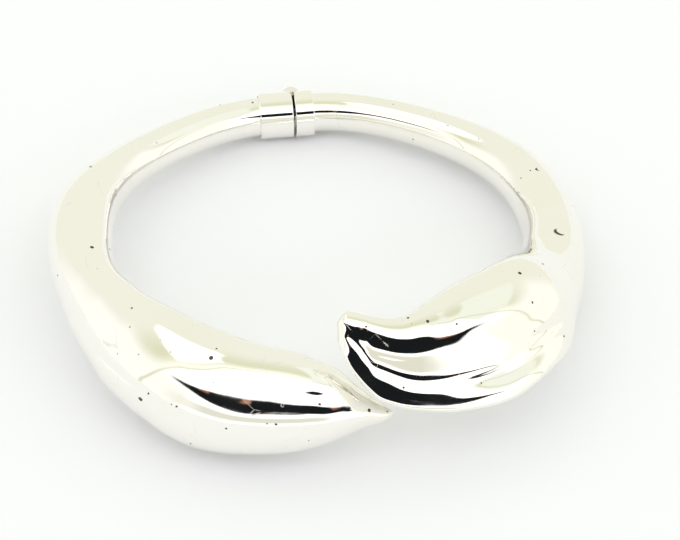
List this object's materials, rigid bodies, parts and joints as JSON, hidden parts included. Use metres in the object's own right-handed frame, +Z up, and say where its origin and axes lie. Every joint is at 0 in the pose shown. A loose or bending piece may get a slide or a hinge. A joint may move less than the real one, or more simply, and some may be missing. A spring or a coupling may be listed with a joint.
{
  "type": "hinged bypass bangle",
  "caption": "Hollow polished bypass bangle with fluted leaf terminals crossing at the front and a sprung hinge with plain collars at the back.",
  "frame": {"origin": "middle of the footprint, on the table the bangle lies on", "axes": "+Z up from the table, +Y towards the hinge at the back, -Y towards the crossing leaves at the front, +X towards the arm that swings"},
  "size_m": [0.0736, 0.0744, 0.0209],
  "materials": {
    "silver": "mirror polished silver",
    "hinge_silver": "polished silver, slightly dulled",
    "spring_steel": "bright drawn wire"
  },
  "bodies": {
    "fixed_arm": {"left_arm_outer_shell": "silver", "left_arm_inner_shell": "silver", "left_collar": "silver", "left_end_plug": "hinge_silver", "left_knuckle_upper": "hinge_silver", "left_knuckle_lower": "hinge_silver", "left_spring_anchor_pin": "spring_steel", "hinge_pin": "hinge_silver", "closing_spring": "spring_steel"},
    "swinging_arm": {"right_arm_outer_shell": "silver", "right_arm_inner_shell": "silver", "right_collar": "silver", "right_end_plug": "hinge_silver", "right_knuckle": "hinge_silver", "right_spring_anchor_pin": "spring_steel"}
  },
  "joints": [
    {"name": "opening_hinge", "type": "hinge", "parent": "fixed_arm", "child": "swinging_arm", "pos_m": [0.0003, 0.03586, 0.00337], "axis": [0, 0.1392, 0.9903], "range_deg": [0, 38], "stiffness_Nm_per_rad": 0.0107, "springref_deg": -37.24, "deforming": ["closing_spring"]}
  ]
}
